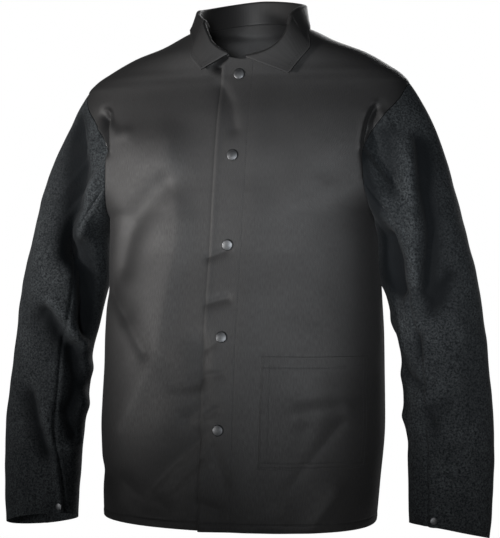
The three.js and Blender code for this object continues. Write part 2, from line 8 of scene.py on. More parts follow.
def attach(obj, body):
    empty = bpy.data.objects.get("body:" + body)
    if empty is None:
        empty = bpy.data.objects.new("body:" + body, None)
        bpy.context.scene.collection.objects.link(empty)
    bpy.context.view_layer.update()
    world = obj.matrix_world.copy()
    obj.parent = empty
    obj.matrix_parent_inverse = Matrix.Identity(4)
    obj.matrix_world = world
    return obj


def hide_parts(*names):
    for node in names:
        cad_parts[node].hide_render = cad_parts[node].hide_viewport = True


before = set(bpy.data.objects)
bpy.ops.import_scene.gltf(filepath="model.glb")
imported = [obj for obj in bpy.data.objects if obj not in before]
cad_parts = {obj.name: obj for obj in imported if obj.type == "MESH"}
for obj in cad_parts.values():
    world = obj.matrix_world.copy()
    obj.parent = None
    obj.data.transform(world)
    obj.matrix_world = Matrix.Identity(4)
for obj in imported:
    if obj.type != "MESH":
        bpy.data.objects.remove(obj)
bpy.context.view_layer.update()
mm = 0.001  # the sizes below are millimetres, the scene is metres
quarter = math.pi / 2
print("frame loaded,", len(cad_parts), "nodes")


# Camera, light and floor
shot = {
    "azimuth": 14, "distance": 2000, "level": -385, "right": 16,
    "focalPixels": 1250, "longSidePixels": 538, "sensor": 36,
}
lamps = [  # name, place in metres, aim, size, spread in degrees, watts, colour
    ("keyLight", (-1.95, -1.7, -0.4), (-0.12, -0.05, -0.24), 0.5, 16, 0.9, (1.0, 0.975, 0.955)),
    ("frontLight", (0.3, -2.45, -0.45), (0.05, 0.0, -0.26), 0.5, 22, 0.66, (0.93, 0.965, 1.0)),
    ("sideLight", (1.7, -1.8, -0.35), (0.2, -0.05, -0.36), 0.4, 12, 0.045, (0.93, 0.965, 1.0)),
    ("sleeveLight", (1.2, -2.2, -0.5), (0.36, 0.0, -0.57), 0.5, 18, 0.2, (1.0, 1.0, 1.0)),
    ("cuffLight", (-1.6, -2.0, -0.6), (-0.37, 0.0, -0.64), 0.5, 14, 0.155, (1.0, 1.0, 1.0)),
    ("neckLight", (0.15, -2.0, 0.6), (0.02, 0.09, 0.01), 0.08, 6, 0.019, (1.0, 1.0, 1.0)),
    ("rearLight", (0.4, 2.4, 0.8), (0.0, 0.0, -0.4), 1.8, 60, 7, (1.0, 1.0, 1.0)),
]
stage = {"floorLevel": -1.1, "floorRadius": 1.25, "floorSegments": 96, "ambient": 0.014}


def addObject(name, data):
    thing = bpy.data.objects.new(name, data)
    bpy.context.scene.collection.objects.link(thing)
    return thing


def makeCamera():
    turn = math.radians(shot["azimuth"])
    data = bpy.data.cameras.new("camera")
    data.sensor_width = shot["sensor"]
    data.lens = shot["focalPixels"] * shot["sensor"] / shot["longSidePixels"]
    camera = addObject("camera", data)
    ahead = Vector((math.sin(turn), -math.cos(turn), 0)) * shot["distance"]
    across = Vector((math.cos(turn), math.sin(turn), 0)) * shot["right"]
    camera.location = (ahead + across + Vector((0, 0, shot["level"]))) * mm
    camera.rotation_euler = (quarter, 0, turn)
    bpy.context.scene.camera = camera


def makeLamps():
    for name, place, aim, size, spread, watts, colour in lamps:
        data = bpy.data.lights.new(name, "AREA")
        data.size = size
        data.spread = math.radians(spread)
        data.energy = watts
        data.color = colour
        lamp = addObject(name, data)
        lamp.location = place
        lamp.rotation_euler = (Vector(aim) - Vector(place)).to_track_quat("-Z", "Y").to_euler()


def makeWorld():
    world = bpy.data.worlds.new("studio")
    bpy.context.scene.world = world
    world.use_nodes = True
    nodes, links = world.node_tree.nodes, world.node_tree.links
    nodes.clear()
    light = nodes.new("ShaderNodeBackground")
    light.inputs["Strength"].default_value = stage["ambient"]
    backdrop = nodes.new("ShaderNodeBackground")
    path = nodes.new("ShaderNodeLightPath")
    mix = nodes.new("ShaderNodeMixShader")
    out = nodes.new("ShaderNodeOutputWorld")
    for background in (light, backdrop):
        background.inputs["Color"].default_value = (1, 1, 1, 1)
    links.new(path.outputs["Is Camera Ray"], mix.inputs["Fac"])
    links.new(light.outputs[0], mix.inputs[1])
    links.new(backdrop.outputs[0], mix.inputs[2])
    links.new(mix.outputs[0], out.inputs["Surface"])
    bpy.context.scene.view_settings.view_transform = "Standard"


# Materials
def newMaterial(name):
    material = bpy.data.materials.new(name)
    material.use_nodes = True
    nodes = material.node_tree.nodes
    return material, nodes, material.node_tree.links, nodes["Principled BSDF"]


def newGroup(name, inputs, outputs):
    group = bpy.data.node_groups.new(name, "ShaderNodeTree")
    for label, kind, value in inputs:
        socket = group.interface.new_socket(label, in_out="INPUT", socket_type=kind)
        if value is not None:
            socket.default_value = value
    for label, kind in outputs:
        group.interface.new_socket(label, in_out="OUTPUT", socket_type=kind)
    nodes = group.nodes
    return group, nodes, group.links, nodes.new("NodeGroupInput"), nodes.new("NodeGroupOutput")


def placeGroup(nodes, group, **values):
    node = nodes.new("ShaderNodeGroup")
    node.node_tree = group
    for label, value in values.items():
        node.inputs[label].default_value = value
    return node


def noiseNode(nodes, scale, detail, roughness):
    node = nodes.new("ShaderNodeTexNoise")
    node.inputs["Scale"].default_value = scale
    node.inputs["Detail"].default_value = detail
    node.inputs["Roughness"].default_value = roughness
    return node


def mathNode(nodes, links, kind, first, second):
    node = nodes.new("ShaderNodeMath")
    node.operation = kind
    for slot, value in enumerate((first, second)):
        if isinstance(value, (int, float)):
            node.inputs[slot].default_value = value
        else:
            links.new(value, node.inputs[slot])
    return node.outputs[0]


def mixColour(nodes, links, factor, dark, light):
    node = nodes.new("ShaderNodeMix")
    node.data_type = "RGBA"
    links.new(factor, node.inputs["Factor"])
    for label, value in (("A", dark), ("B", light)):
        socket = [s for s in node.inputs if s.name == label and s.type == "RGBA"][0]
        socket.default_value = (*value, 1)
    return [s for s in node.outputs if s.type == "RGBA"][0]


def rangeNode(nodes, links, value, low, high, newLow, newHigh):
    node = nodes.new("ShaderNodeMapRange")
    links.new(value, node.inputs["Value"])
    for label, number in (("From Min", low), ("From Max", high), ("To Min", newLow), ("To Max", newHigh)):
        node.inputs[label].default_value = number
    return node.outputs["Result"]


def makePaintedShadingGroup():
    # painted highlight on the cloth's ridges and painted shade in its creases, from the piece's own point
    # attribute
    group, nodes, links, start, end = newGroup(
        "paintedFoldShading",
        [("Tone", "NodeSocketFloat", 0.5), ("Amount", "NodeSocketFloat", 1.0)],
        [("Tone", "NodeSocketFloat")],
    )
    paintedShading = nodes.new("ShaderNodeAttribute")
    paintedShading.attribute_name = "paintedShading"
    share = mathNode(nodes, links, "MULTIPLY", paintedShading.outputs["Fac"], start.outputs["Amount"])
    share = mathNode(nodes, links, "ADD", share, 1)
    links.new(mathNode(nodes, links, "MULTIPLY", start.outputs["Tone"], share), end.inputs["Tone"])
    return group


weaveLook = {  # waves across and along, each with its share of the thread count, and slubs along the warp
    "waves": (("X", 1.0), ("Y", 0.45), ("DIAGONAL", 0.25)), "wobble": 0.6,
    "slubScale": 900, "slubDetail": 2, "slubRoughness": 0.5, "slubStretch": 0.12,
}


def makeWeaveGroup():
    # satin weave on the cloth's own UV map, in metres
    group, nodes, links, start, end = newGroup(
        "satinWeave",
        [("Threads", "NodeSocketFloat", 700.0)],
        [("Height", "NodeSocketFloat"), ("Slub", "NodeSocketFloat")],
    )
    uv = nodes.new("ShaderNodeUVMap")
    uv.uv_map = "cloth"
    waves = []
    for direction, share in weaveLook["waves"]:
        wave = nodes.new("ShaderNodeTexWave")
        wave.bands_direction = direction
        wave.inputs["Distortion"].default_value = weaveLook["wobble"]
        wave.inputs["Detail"].default_value = 0
        links.new(uv.outputs["UV"], wave.inputs["Vector"])
        links.new(mathNode(nodes, links, "MULTIPLY", start.outputs["Threads"], share), wave.inputs["Scale"])
        waves.append(wave.outputs["Fac"])
    height = mathNode(nodes, links, "MULTIPLY", waves[0], waves[1])
    height = mathNode(nodes, links, "ADD", height, waves[2])
    links.new(height, end.inputs["Height"])
    stretch = nodes.new("ShaderNodeMapping")
    stretch.inputs["Scale"].default_value = (1, weaveLook["slubStretch"], 1)
    links.new(uv.outputs["UV"], stretch.inputs["Vector"])
    slub = noiseNode(nodes, weaveLook["slubScale"], weaveLook["slubDetail"], weaveLook["slubRoughness"])
    links.new(stretch.outputs["Vector"], slub.inputs["Vector"])
    links.new(slub.outputs["Fac"], end.inputs["Slub"])
    return group


mottleLook = {"scale": 10.0, "detail": 4, "roughness": 0.6}
noiseSpan = (0.3, 0.7)  # nearly all of a noise lies between these


def makeMottleGroup():
    # broad uneven tone, as from washing, handling and uneven dye
    group, nodes, links, start, end = newGroup(
        "mottle",
        [("Scale", "NodeSocketFloat", mottleLook["scale"])],
        [("Tone", "NodeSocketFloat")],
    )
    place = nodes.new("ShaderNodeTexCoord")
    cloud = noiseNode(nodes, mottleLook["scale"], mottleLook["detail"], mottleLook["roughness"])
    links.new(place.outputs["Object"], cloud.inputs["Vector"])
    links.new(start.outputs["Scale"], cloud.inputs["Scale"])
    links.new(cloud.outputs["Fac"], end.inputs["Tone"])
    return group


def finishCloth(nodes, links, shader, look, height):
    bump = nodes.new("ShaderNodeBump")
    bump.inputs["Strength"].default_value = look["bump"]
    bump.inputs["Distance"].default_value = look["bumpDepth"]
    links.new(height, bump.inputs["Height"])
    links.new(bump.outputs["Normal"], shader.inputs["Normal"])
    shader.inputs["Specular IOR Level"].default_value = look["specular"]
    shader.inputs["Sheen Weight"].default_value = look["sheen"]
    shader.inputs["Sheen Roughness"].default_value = look["sheenRoughness"]


cottonLook = {
    "dark": (0.010, 0.0098, 0.0101), "light": (0.034, 0.0333, 0.0337), "threads": 700.0, "mottle": 9.0,
    "slubShare": 0.4, "mottleShare": 0.6, "paintedShading": 0.9, "roughness": (0.62, 0.51), "specular": 0.55,
    "sheen": 0.05, "sheenRoughness": 0.45, "bump": 0.25, "bumpDepth": 0.0002,
}


def makeCotton():
    material, nodes, links, shader = newMaterial("cottonSateen")
    weave = placeGroup(nodes, weaveGroup, Threads=cottonLook["threads"])
    mottle = placeGroup(nodes, mottleGroup, Scale=cottonLook["mottle"])
    slub = rangeNode(nodes, links, weave.outputs["Slub"], *noiseSpan, 0.0, cottonLook["slubShare"])
    cloud = mathNode(nodes, links, "MULTIPLY", mottle.outputs["Tone"], cottonLook["mottleShare"])
    tone = mathNode(nodes, links, "ADD", slub, cloud)
    # painted shade in the creases and painted highlight on the ridges
    paintedTone = placeGroup(nodes, paintedShadingGroup, Amount=cottonLook["paintedShading"])
    links.new(tone, paintedTone.inputs["Tone"])
    colour = mixColour(nodes, links, paintedTone.outputs["Tone"], cottonLook["dark"], cottonLook["light"])
    links.new(colour, shader.inputs["Base Color"])
    roughness = rangeNode(nodes, links, tone, *noiseSpan, *cottonLook["roughness"])
    links.new(roughness, shader.inputs["Roughness"])
    finishCloth(nodes, links, shader, cottonLook, weave.outputs["Height"])
    return material


suedeLook = {
    "dark": (0.008, 0.010, 0.012), "light": (0.085, 0.094, 0.100), "nap": 340.0, "napDetail": 5,
    "napRoughness": 0.7, "tufts": 0.8, "flecks": (0.38, 0.66), "paleness": 0.3, "mottle": 26.0, "paintedShading": 1.0,
    "roughness": (0.95, 0.85), "specular": 0.25, "sheen": 0.06, "sheenRoughness": 0.5, "bump": 0.6,
    "bumpDepth": 0.0006,
}


def makeSuede():
    material, nodes, links, shader = newMaterial("splitSuede")
    place = nodes.new("ShaderNodeTexCoord")
    nap = noiseNode(nodes, suedeLook["nap"], suedeLook["napDetail"], suedeLook["napRoughness"])
    links.new(place.outputs["Object"], nap.inputs["Vector"])
    tuft = nodes.new("ShaderNodeTexVoronoi")
    tuft.inputs["Scale"].default_value = suedeLook["nap"] * suedeLook["tufts"]
    links.new(place.outputs["Object"], tuft.inputs["Vector"])
    mottle = placeGroup(nodes, mottleGroup, Scale=suedeLook["mottle"])
    fleck = rangeNode(nodes, links, nap.outputs["Fac"], *suedeLook["flecks"], 0.0, 1.0)
    cloud = mathNode(nodes, links, "ADD", mottle.outputs["Tone"], suedeLook["paleness"])
    # painted shade in the creases and shadowed hollows, painted highlight on the ridges
    paintedTone = placeGroup(nodes, paintedShadingGroup, Amount=suedeLook["paintedShading"])
    links.new(mathNode(nodes, links, "MULTIPLY", fleck, cloud), paintedTone.inputs["Tone"])
    colour = mixColour(nodes, links, paintedTone.outputs["Tone"], suedeLook["dark"], suedeLook["light"])
    links.new(colour, shader.inputs["Base Color"])
    roughness = rangeNode(nodes, links, mottle.outputs["Tone"], *noiseSpan, *suedeLook["roughness"])
    links.new(roughness, shader.inputs["Roughness"])
    height = mathNode(nodes, links, "ADD", nap.outputs["Fac"], tuft.outputs["Distance"])
    finishCloth(nodes, links, shader, suedeLook, height)
    return material


plainLooks = {
    "gunmetal": {
        "dark": (0.085, 0.088, 0.092), "light": (0.17, 0.174, 0.18), "mottle": 260.0,
        "roughness": (0.36, 0.48), "metallic": 1.0,
    },
    "blackThread": {
        "dark": (0.02, 0.02, 0.021), "light": (0.06, 0.06, 0.062), "mottle": 900.0,
        "roughness": (0.5, 0.65), "metallic": 0.0,
    },
    "paleFloor": {
        "dark": (0.78, 0.78, 0.78), "light": (0.84, 0.84, 0.84), "mottle": 3.0,
        "roughness": (0.8, 0.8), "metallic": 0.0,
    },
}


def makePlain(name):
    look = plainLooks[name]
    material, nodes, links, shader = newMaterial(name)
    mottle = placeGroup(nodes, mottleGroup, Scale=look["mottle"])
    colour = mixColour(nodes, links, mottle.outputs["Tone"], look["dark"], look["light"])
    links.new(colour, shader.inputs["Base Color"])
    roughness = rangeNode(nodes, links, mottle.outputs["Tone"], *noiseSpan, *look["roughness"])
    links.new(roughness, shader.inputs["Roughness"])
    shader.inputs["Metallic"].default_value = look["metallic"]
    return material


def makeFloor():
    bm = bmesh.new()
    bmesh.ops.create_circle(bm, cap_ends=True, segments=stage["floorSegments"], radius=stage["floorRadius"])
    bmesh.ops.translate(bm, verts=bm.verts, vec=(0, 0, stage["floorLevel"]))
    mesh = bpy.data.meshes.new("floor")
    bm.to_mesh(mesh)
    bm.free()
    mesh.materials.append(makePlain("paleFloor"))
    addObject("floor", mesh)


makeCamera()
makeLamps()
makeWorld()
paintedShadingGroup = makePaintedShadingGroup()
weaveGroup = makeWeaveGroup()
mottleGroup = makeMottleGroup()
cotton = makeCotton()
suede = makeSuede()
gunmetal = makePlain("gunmetal")
thread = makePlain("blackThread")
makeFloor()
print("camera, light, floor and materials ready")


# Curves through the columns of a size table
def hermite(start, leaving, end, arriving, t):
    rest = 1 - t
    blend = t * t * (3 - 2 * t)
    return start * (1 - blend) + end * blend + leaving * t * rest * rest - arriving * t * t * rest


def columnCurve(keys, values):
    x = np.array(keys[::-1], float)
    y = np.array(values[::-1], float)
    slope = np.diff(y) / np.diff(x)
    product = slope[:-1] * slope[1:]
    both = np.where(product > 0, slope[:-1] + slope[1:], 1)
    tangent = np.concatenate([slope[:1], np.where(product > 0, 2 * product / both, 0), slope[-1:]])

    def at(key):
        key = np.clip(key, x[0], x[-1])
        i = np.clip(np.searchsorted(x, key, side="right") - 1, 0, len(x) - 2)
        span = x[i + 1] - x[i]
        return hermite(y[i], tangent[i] * span, y[i + 1], tangent[i + 1] * span, (key - x[i]) / span)

    return at


def tableCurves(table, key):
    return {name: columnCurve(table[key], column) for name, column in table.items() if name != key}


def smoothStep(value, low, high):
    t = np.clip((value - low) / (high - low), 0, 1)
    return t * t * (3 - 2 * t)


def dip(distance, width, power=2.0):
    return np.exp(-np.abs(distance / width) ** power)


def stations(*spans):
    # even steps within each span, so a seam or edge gets closer rows
    found = []
    for start, end, step in spans:
        count = max(1, round(abs(end - start) / step))
        found.extend(np.linspace(start, end, count + 1)[:-1])
    return np.array([*found, spans[-1][1]])


def unit(vectors):
    return vectors / np.maximum(np.linalg.norm(vectors, axis=1, keepdims=True), 1e-9)


def normalsOf(form, u, v, du, dv):
    return unit(np.cross(form(u + du, v) - form(u - du, v), form(u, v + dv) - form(u, v - dv)))


def creaseHeight(creases, u, v):
    # each crease runs along a line of points, with a width on its left and right and its own crispness
    total = np.zeros(np.shape(u))
    for points, left, right, height, power in creases:
        nearest = np.full(np.shape(u), 1e9)
        width = np.full(np.shape(u), float(left))
        for (u0, v0), (u1, v1) in zip(points[:-1], points[1:]):
            du, dv = u1 - u0, v1 - v0
            length = math.hypot(du, dv)
            along = np.clip(((u - u0) * du + (v - v0) * dv) / length ** 2, 0, 1)
            offU, offV = u - u0 - along * du, v - v0 - along * dv
            off = np.hypot(offU, offV)
            side = (du * offV - dv * offU) / (length * np.maximum(off, 1e-6))
            width = np.where(off < nearest, left * (1 + side) / 2 + right * (1 - side) / 2, width)
            nearest = np.minimum(off, nearest)
        total += height * dip(nearest, width, power)
    return total


def ripple(points, size, seed):
    shift = Vector((seed, 2 * seed, 3 * seed))
    return np.array([noise.noise(Vector(p) / size + shift) for p in points])


# Body form
bodySize = {
    "z": [20, 0, -7, -28, -45, -67, -81, -96, -150, -200, -250, -285, -305,
          -352, -432, -489, -560, -626, -720, -778],
    "halfWidth": [66, 78, 100, 144, 190, 230, 251, 264, 274, 270, 254, 230, 217,
                  219, 222.5, 225, 226, 227, 223, 219.5],
    "front": [56, 57, 57, 58, 59, 60, 61, 63, 77, 86, 91, 94, 96,
              99, 110, 118, 125, 131, 134, 135],
    "back": [70, 68, 70, 74, 78, 82, 84, 86, 93, 98, 101, 103, 103,
             103, 101, 100, 101, 103, 107, 110],
    "middle": [8, 8, 8, 8, 8, 8, 8, 7, 5, 4, 3, 2, 2, 1, 0, 0, 0, 0, 0, 0],
    "lean": [17, 17, 16.5, 15, 11, 8, 7, 6, 4, 2, 1, 1.5, 2, 4, 5, 5.5, 5.5, 5, 1, -1],
    "squareness": [2.1, 2.1, 2.1, 2.2, 2.2, 2.2, 2.3, 2.3, 2.4, 2.5, 2.5, 2.5, 2.5,
                   2.5, 2.5, 2.5, 2.5, 2.45, 2.4, 2.4],
    "closing": [14, 14, 14, 14, 14, 13.5, 13, 12.6, 11.5, 10.4, 9, 8, 7.4,
                6, 3.6, 2, 1, 0, -1.4, -2],
}
armholeSize = {
    "z": [-96, -120, -150, -180, -210, -250, -285, -305],
    "front": [264, 255, 233, 215, 206, 207, 212, 217],
    "back": [264, 261, 255, 249, 243, 234, 224, 217],
}
cut = {
    "hem": -778, "armpit": -305, "shoulderTip": -96, "neckDrop": 58, "neckCurve": 8, "neckTurn": 4,
    "napeRise": 20, "napeCurve": 1.5, "gap": 0.4, "lap": 29, "lapFade": 75, "lapGap": 0.8,
    "cornerTurn": 11, "cornerTall": 35, "lapDrop": 1.5, "dropTall": 70, "dropWide": 60,
    "cottonWall": 1.5, "suedeWall": 1.8, "collarWall": 2.4, "pocketWall": 1.2,
}
fullShadeDepth = 11  # a crease this deep gets the darkest painted shade
# painted shade goes down to -1, painted highlight up to 0.5
paintedShadingRange = (-1, 0.5)
settleRounds = 20
frontCreases = [  # (x, z) points, width on the left and right going along, height, power (2 soft, 1 sharp)
    ([(-209, -141), (-206, -160), (-203, -192)], 5, 12, -13, 1.4),  # hollow at the right armhole
    ([(-224, -168), (-216, -142), (-209, -131), (-203, -134), (-199, -150), (-197, -196)], 4, 4, 3.5, 2),
    ([(-197, -160), (-184, -172), (-168, -170)], 9, 14, 3, 2),
    ([(222, -140), (215, -160), (211, -190)], 9, 4, -12, 1.4),  # hollow at the left armhole
    ([(212, -184), (210, -206), (214, -236)], 18, 4, -10, 1.5),
    ([(205, -200), (207, -168), (212, -148), (222, -131), (230, -138), (238, -156)], 4, 4, 3, 2),
    ([(205, -214), (166, -236)], 26, 26, -1.8, 2),
    ([(-152, -200), (-108, -210)], 46, 46, 5, 2),  # chest
    ([(-190, -146), (-96, -150)], 24, 24, -1.6, 2),
    ([(-98, -254), (-117, -270), (-145, -296), (-163, -332), (-176, -380)], 28, 24, -7.5, 1.8),
    ([(-94, -190), (-88, -252), (-76, -312), (-80, -356), (-88, -402), (-92, -432), (-105, -490),
      (-117, -536), (-142, -585), (-168, -630)], 24, 64, 6.5, 1.8),
    ([(-50, -540), (-110, -606), (-182, -684)], 36, 56, 2.5, 2),
    ([(-202, -424), (-172, -456)], 34, 14, -4.5, 1.8),  # side
    ([(-202, -424), (-166, -462), (-127, -512)], 26, 11, -5, 1.5),
    ([(-26, -500), (-27, -548)], 9, 24, -5.5, 1.7),  # beside the lap
    ([(-70, -562), (-30, -560)], 22, 12, -2.4, 1.8),
    ([(-24, -590), (-49, -612)], 10, 16, -3.5, 1.6),
    ([(-30, -642), (-39, -650), (-84, -690), (-114, -722)], 13, 34, -6.5, 1.6),
    ([(-24, -668), (-62, -706), (-96, -738)], 8, 18, -3.4, 1.6),
    ([(-222, -706), (-162, -716), (-123, -746), (-87, -750)], 16, 18, -5, 1.8),  # skirt
    ([(-6, -654), (11, -708)], 9, 9, -2, 1.8),
    ([(-27, -738), (0, -746)], 10, 10, -2.5, 1.8),
    ([(141, -620), (100, -700), (82, -756)], 20, 40, 3, 1.9),
    ([(180, -616), (132, -676), (88, -736)], 8, 14, -1.6, 1.6),
    ([(132, -610), (117, -664)], 18, 18, -3, 1.9),
    ([(130, -578), (172, -562), (216, -556)], 16, 18, -1.9, 2),
    ([(178, -582), (214, -577)], 12, 14, -1.2, 1.9),
    ([(120, -604), (184, -594)], 16, 16, 3, 2),
    ([(174, -721), (138, -770)], 10, 14, 2.5, 1.7),
    ([(-20, -436), (8, -429)], 6, 9, -2.6, 1.7),  # small pulls at the snaps
    ([(-24, -546), (4, -542)], 6, 8, -1.8, 1.8),
    ([(-14, -100), (4, -128), (12, -168)], 8, 14, -2.4, 1.8),
    ([(-23, -366), (4, -356)], 5, 8, -2.6, 1.7),
    ([(-22, -606), (-4, -596)], 6, 8, -2.2, 1.8),
    ([(-22, -506), (-8, -496)], 5, 6, -1.5, 1.7),
]
underCreases = [  # on the right front alone, under the collar and the lap
    ([(-2, -57), (-20, -68)], 8, 9, -10, 2),
]
backCreases = [
    ([(120, -330), (105, -760)], 34, 34, 5, 2),
    ([(-125, -340), (-105, -760)], 34, 34, 5, 2),
    ([(212, -150), (206, -240)], 15, 15, -6, 1.8),
    ([(-212, -150), (-206, -240)], 15, 15, -6, 1.8),
    ([(30, -640), (-20, -760)], 22, 30, -4, 2),
    ([(185, -470), (120, -560)], 14, 20, -3, 1.8),
    ([(-190, -430), (-110, -540)], 14, 20, -3, 1.8),
]
body = tableCurves(bodySize, "z")
armhole = tableCurves(armholeSize, "z")
angleStep, levelStep = 0.01, 2.0


def bodyForm(angle, z):
    power = body["squareness"](z)
    across, ahead = np.sin(angle), np.cos(angle)
    stretch = (np.abs(across) ** power + np.abs(ahead) ** power) ** (-1 / power)
    depth = np.where(ahead > 0, body["front"](z), body["back"](z))
    x = body["lean"](z) + body["halfWidth"](z) * stretch * across
    return np.stack([x, body["middle"](z) - depth * stretch * ahead, z + 0 * angle], axis=1)


def bodySkin(angle, z):
    point = bodyForm(angle, z)
    ahead = np.cos(angle)
    height = np.where(
        ahead > 0, creaseHeight(frontCreases, point[:, 0], z), creaseHeight(backCreases, point[:, 0], z)
    )
    height = height * np.minimum(1, 2 * np.abs(ahead))  # creases die out at the sides
    return point + normalsOf(bodyForm, angle, z, angleStep, levelStep) * height[:, None]


def angleAt(out, z):
    power = body["squareness"](z)
    share = np.clip(np.abs(out) / body["halfWidth"](z), 0, 1)
    return np.sign(out) * np.arctan2(share, (1 - share ** power) ** (1 / power))


def neckHeight(angle):
    ahead = np.cos(angle)
    drop = -cut["neckDrop"] * np.maximum(np.cos(angle - math.radians(cut["neckTurn"])), 0) ** cut["neckCurve"]
    rise = cut["napeRise"] * np.maximum(-ahead, 0) ** cut["napeCurve"]
    return np.where(ahead > 0, drop, rise)


def edgeAngle(z, face):
    seam = quarter - cut["gap"] / (2 * body[face](z))
    free = (z >= cut["shoulderTip"]) | (z <= cut["armpit"])
    return np.where(free, seam, np.minimum(seam, angleAt(armhole[face](z), z)))


def settle(level, angleFor):
    # rows above the shoulder tips stretch up to the neckline
    tip = cut["shoulderTip"]
    top = np.clip(1 - level / tip, 0, 1)
    z = np.minimum(level, tip)
    angle = angleFor(z)
    for attempt in range(settleRounds):
        z = np.where(top > 0, (z + tip + (neckHeight(angle) - tip) * top) / 2, z)
        angle = angleFor(z)
    return angle, z


# Pieces of cloth
def clothGrid(columns, rows, place, paintedShading):
    # a grid whose points are laid where place puts them, with its own flat UV map and its painted shade and
    # highlight
    bm = bmesh.new()
    wide, tall = len(columns) - 1, len(rows) - 1
    bmesh.ops.create_grid(bm, x_segments=wide, y_segments=tall, size=0.5)
    bm.verts.index_update()
    i = np.rint([(vert.co.x + 0.5) * wide for vert in bm.verts]).astype(int)
    j = np.rint([(vert.co.y + 0.5) * tall for vert in bm.verts]).astype(int)
    u, v = columns[i], rows[j]
    points, normals = place(u, v)
    for vert, point in zip(bm.verts, points):
        vert.co = Vector(point) * mm
    # painted shade and highlight per point, read by the material's node group
    shadingLayer = bm.verts.layers.float.new("paintedShading")
    for vert, value in zip(bm.verts, paintedShading(u, v)):
        vert[shadingLayer] = value
    uvLayer = bm.loops.layers.uv.new("cloth")
    for face in bm.faces:
        for loop in face.loops:
            loop[uvLayer].uv = (u[loop.vert.index] * mm, v[loop.vert.index] * mm)
    bm.normal_update()
    middle = bm.faces[:][len(bm.faces) // 2]
    if middle.normal.dot(Vector(normals[middle.verts[0].index])) < 0:
        bmesh.ops.reverse_faces(bm, faces=bm.faces)
    return bm


def addPiece(bm, name, material):
    mesh = bpy.data.meshes.new(name)
    bm.to_mesh(mesh)
    bm.free()
    mesh.materials.append(material)
    mesh.shade_smooth()
    piece = addObject(name, mesh)
    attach(piece, "root")
    return piece


edgeRound = {"share": 0.35, "segments": 2, "angle": 55}  # share of the wall


def thicken(piece, wall, offset):
    solid = piece.modifiers.new("wall", "SOLIDIFY")
    solid.thickness = wall * mm
    solid.offset = offset
    edge = piece.modifiers.new("edge", "BEVEL")
    edge.width = wall * mm * edgeRound["share"]
    edge.segments = edgeRound["segments"]
    edge.limit_method = "ANGLE"
    edge.angle_limit = math.radians(edgeRound["angle"])


def pathLength(points):
    return np.linalg.norm(np.diff(points, axis=0), axis=1).sum() * mm


rowSkip, columnSkip = 12, 8


def flatSize(columns, rows, place):
    # longest row and longest column of those tried, measured along the cloth
    wide = max(pathLength(place(columns, np.full(len(columns), row))[0]) for row in rows[::rowSkip])
    tall = max(pathLength(place(np.full(len(rows), column), rows)[0]) for column in columns[::columnSkip])
    return wide, tall


def noPaintedShading(u, v):
    return 0 * u


def addCloth(name, node, columns, rows, place, wall, material, offset=-1, paintedShading=noPaintedShading):
    piece = addPiece(clothGrid(columns, rows, place, paintedShading), name, material)
    area = sum(face.area for face in piece.data.polygons)
    {"piece": piece, "flat": flatSize(columns, rows, place), "area": area}
    thicken(piece, wall, offset)
    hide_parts(node)


stitch = {"pitch": 3.4, "length": 2.7, "radius": 0.34, "rise": 0.12, "edge": 2, "samples": 200}


def sewRow(bm, skin, u, v):
    # short thread capsules along a line of the cloth, a pitch apart
    points, normals = skin(u, v)
    run = np.concatenate([[0], np.cumsum(np.linalg.norm(np.diff(points, axis=0), axis=1))])
    at = np.arange(stitch["pitch"] / 2, run[-1], stitch["pitch"])
    middles = np.stack([np.interp(at, run, points[:, axis]) for axis in range(3)], axis=1)
    ups = np.stack([np.interp(at, run, normals[:, axis]) for axis in range(3)], axis=1)
    for middle, ahead, up in zip(middles, np.gradient(middles, axis=0), ups):
        along = Vector(ahead).normalized()
        across = Vector(up).cross(along).normalized()
        above = along.cross(across)
        shape = (along * stitch["length"] / 2, across * stitch["radius"], above * stitch["radius"])
        turn = Matrix(shape).transposed().to_4x4()
        place = Matrix.Translation(Vector(middle) + above * stitch["rise"])
        bmesh.ops.create_icosphere(bm, subdivisions=1, radius=1, matrix=place @ turn)


def addStitches(name, rows):
    bm = bmesh.new()
    for skin, u, v in rows:
        sewRow(bm, skin, u, v)
    bmesh.ops.scale(bm, vec=(mm, mm, mm), verts=bm.verts)
    piece = addPiece(bm, name, thread)
    print(name, len(piece.data.polygons), "faces")
    return piece


def rowAlong(start, end, level):
    return np.linspace(start, end, stitch["samples"]), np.full(stitch["samples"], float(level))


def rowUp(at, start, end):
    return np.full(stitch["samples"], float(at)), np.linspace(start, end, stitch["samples"])


# Front panels
front = {
    "reach": 232, "placketSeam": 21, "placketTop": -14, "hemSeam": 12.5, "seamDepth": 0.45,
    "placketDepth": 0.15, "seamWidth": 1.3, "hemPuff": 0.5, "edgeRoll": 0.7, "rollAway": 5, "rollWidth": 4.5,
    "edgeDrop": 0.5, "dropAway": 3.5, "shadeAway": 1, "shadeWidth": 3,
    "waveHeight": 0.45, "waveSize": 42, "seed": 3.1,
}


def frontPlace(side, s, level):
    offset = np.minimum(s, cut["lap"])
    if side > 0:  # the lap's upper corner is turned back
        corner = smoothStep(level, -cut["cornerTall"], 0) * np.clip(-s / cut["lap"], 0, 1)
        offset = offset + cut["cornerTurn"] * corner
    share = np.clip((s - cut["lap"]) / front["reach"], 0, 1)
    edge = side * edgeAngle(np.minimum(level, cut["shoulderTip"]), "front")

    def angleFor(z):
        lap = angleAt(body["closing"](z) + side * offset - body["lean"](z), z)
        return lap + (edge - lap) * share

    angle, z = settle(level, angleFor)
    if side > 0:  # and its lower corner hangs a little
        low = 1 - smoothStep(level - cut["hem"], 0, cut["dropTall"])
        z = z - cut["lapDrop"] * low * (1 - smoothStep(s + cut["lap"], 0, cut["dropWide"]))
    return angle, z


